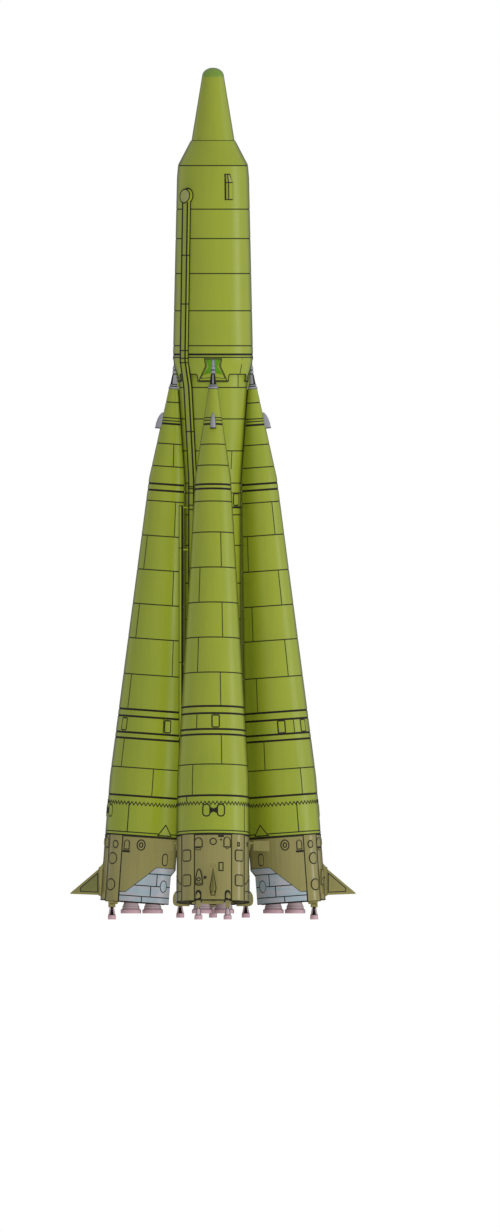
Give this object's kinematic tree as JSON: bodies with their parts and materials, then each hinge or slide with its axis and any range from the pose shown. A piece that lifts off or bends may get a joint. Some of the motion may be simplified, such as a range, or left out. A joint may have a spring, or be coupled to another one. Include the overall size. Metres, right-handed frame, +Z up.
{
  "type": "space rocket",
  "caption": "Green space rocket with a waisted core stage, strap-on conical boosters, air rudders, bell engines and swinging steering nozzles.",
  "frame": {"origin": "on the core's axis at floor level, under the steering nozzles' rims", "axes": "+Z up to the nose, -Y towards the front booster, +X towards the right booster"},
  "size_m": [10.36, 10.36, 30.92],
  "materials": {
    "green_paint": "satin",
    "khaki_paint": "matte",
    "steel_panel": "satin",
    "nozzle_metal": "satin",
    "nozzle_lining": "satin",
    "grey_fitting": "satin",
    "strut_steel": "satin"
  },
  "bodies": {
    "rocket": {"nose_cone": "green_paint", "nose_flare": "green_paint", "core_upper_tank": "green_paint", "core_waist_skirt": "green_paint", "core_lower_tank": "green_paint", "core_tail": "khaki_paint", "core_side_fairing": "green_paint", "core_cable_duct": "green_paint", "core_engine": "nozzle_metal", "booster_front_nose_pin": "grey_fitting", "booster_front_nose_cone": "green_paint", "booster_front_tank": "green_paint", "booster_front_vent_horn": "grey_fitting", "booster_front_tail": "khaki_paint", "booster_front_engine": "nozzle_metal", "tie_rods_front": "strut_steel", "booster_right_nose_pin": "grey_fitting", "booster_right_nose_cone": "green_paint", "booster_right_tank": "green_paint", "booster_right_vent_horn": "grey_fitting", "booster_right_tail": "khaki_paint", "booster_right_engine": "nozzle_metal", "tie_rods_right": "strut_steel", "booster_rear_nose_pin": "grey_fitting", "booster_rear_nose_cone": "green_paint", "booster_rear_tank": "green_paint", "booster_rear_vent_horn": "grey_fitting", "booster_rear_tail": "khaki_paint", "booster_rear_engine": "nozzle_metal", "tie_rods_rear": "strut_steel", "booster_left_nose_pin": "grey_fitting", "booster_left_nose_cone": "green_paint", "booster_left_tank": "green_paint", "booster_left_vent_horn": "grey_fitting", "booster_left_tail": "khaki_paint", "booster_left_engine": "nozzle_metal", "tie_rods_left": "strut_steel"},
    "booster_front_vernier_a": {"booster_front_vernier_a": "nozzle_metal"},
    "booster_front_vernier_b": {"booster_front_vernier_b": "nozzle_metal"},
    "core_vernier_front": {"core_vernier_front": "nozzle_metal"},
    "booster_front_rudder": {"booster_front_rudder": "green_paint"},
    "booster_right_vernier_a": {"booster_right_vernier_a": "nozzle_metal"},
    "booster_right_vernier_b": {"booster_right_vernier_b": "nozzle_metal"},
    "core_vernier_right": {"core_vernier_right": "nozzle_metal"},
    "booster_right_rudder": {"booster_right_rudder": "green_paint"},
    "booster_rear_vernier_a": {"booster_rear_vernier_a": "nozzle_metal"},
    "booster_rear_vernier_b": {"booster_rear_vernier_b": "nozzle_metal"},
    "core_vernier_rear": {"core_vernier_rear": "nozzle_metal"},
    "booster_rear_rudder": {"booster_rear_rudder": "green_paint"},
    "booster_left_vernier_a": {"booster_left_vernier_a": "nozzle_metal"},
    "booster_left_vernier_b": {"booster_left_vernier_b": "nozzle_metal"},
    "core_vernier_left": {"core_vernier_left": "nozzle_metal"},
    "booster_left_rudder": {"booster_left_rudder": "green_paint"}
  },
  "joints": [
    {"name": "booster_front_vernier_a_swing", "type": "hinge", "parent": "rocket", "child": "booster_front_vernier_a", "pos_m": [-0.53, -3.67, 0.515], "axis": [0, -1, 0], "range_deg": [-45, 45]},
    {"name": "booster_front_vernier_b_swing", "type": "hinge", "parent": "rocket", "child": "booster_front_vernier_b", "pos_m": [0.53, -3.67, 0.515], "axis": [0, -1, 0], "range_deg": [-45, 45]},
    {"name": "core_vernier_front_swing", "type": "hinge", "parent": "rocket", "child": "core_vernier_front", "pos_m": [0, -1.19, 0.58], "axis": [0, -1, 0], "range_deg": [-45, 45]},
    {"name": "booster_front_rudder_turn", "type": "hinge", "parent": "rocket", "child": "booster_front_rudder", "pos_m": [0, -4.14, 1.35], "axis": [0, -1, 0], "range_deg": [-20, 20]},
    {"name": "booster_right_vernier_a_swing", "type": "hinge", "parent": "rocket", "child": "booster_right_vernier_a", "pos_m": [3.67, -0.53, 0.515], "axis": [1, 0, 0], "range_deg": [-45, 45]},
    {"name": "booster_right_vernier_b_swing", "type": "hinge", "parent": "rocket", "child": "booster_right_vernier_b", "pos_m": [3.67, 0.53, 0.515], "axis": [1, 0, 0], "range_deg": [-45, 45]},
    {"name": "core_vernier_right_swing", "type": "hinge", "parent": "rocket", "child": "core_vernier_right", "pos_m": [1.19, 0, 0.58], "axis": [1, 0, 0], "range_deg": [-45, 45]},
    {"name": "booster_right_rudder_turn", "type": "hinge", "parent": "rocket", "child": "booster_right_rudder", "pos_m": [4.14, 0, 1.35], "axis": [1, 0, 0], "range_deg": [-20, 20]},
    {"name": "booster_rear_vernier_a_swing", "type": "hinge", "parent": "rocket", "child": "booster_rear_vernier_a", "pos_m": [0.53, 3.67, 0.515], "axis": [0, 1, 0], "range_deg": [-45, 45]},
    {"name": "booster_rear_vernier_b_swing", "type": "hinge", "parent": "rocket", "child": "booster_rear_vernier_b", "pos_m": [-0.53, 3.67, 0.515], "axis": [0, 1, 0], "range_deg": [-45, 45]},
    {"name": "core_vernier_rear_swing", "type": "hinge", "parent": "rocket", "child": "core_vernier_rear", "pos_m": [0, 1.19, 0.58], "axis": [0, 1, 0], "range_deg": [-45, 45]},
    {"name": "booster_rear_rudder_turn", "type": "hinge", "parent": "rocket", "child": "booster_rear_rudder", "pos_m": [0, 4.14, 1.35], "axis": [0, 1, 0], "range_deg": [-20, 20]},
    {"name": "booster_left_vernier_a_swing", "type": "hinge", "parent": "rocket", "child": "booster_left_vernier_a", "pos_m": [-3.67, 0.53, 0.515], "axis": [-1, 0, 0], "range_deg": [-45, 45]},
    {"name": "booster_left_vernier_b_swing", "type": "hinge", "parent": "rocket", "child": "booster_left_vernier_b", "pos_m": [-3.67, -0.53, 0.515], "axis": [-1, 0, 0], "range_deg": [-45, 45]},
    {"name": "core_vernier_left_swing", "type": "hinge", "parent": "rocket", "child": "core_vernier_left", "pos_m": [-1.19, 0, 0.58], "axis": [-1, 0, 0], "range_deg": [-45, 45]},
    {"name": "booster_left_rudder_turn", "type": "hinge", "parent": "rocket", "child": "booster_left_rudder", "pos_m": [-4.14, 0, 1.35], "axis": [-1, 0, 0], "range_deg": [-20, 20]}
  ]
}
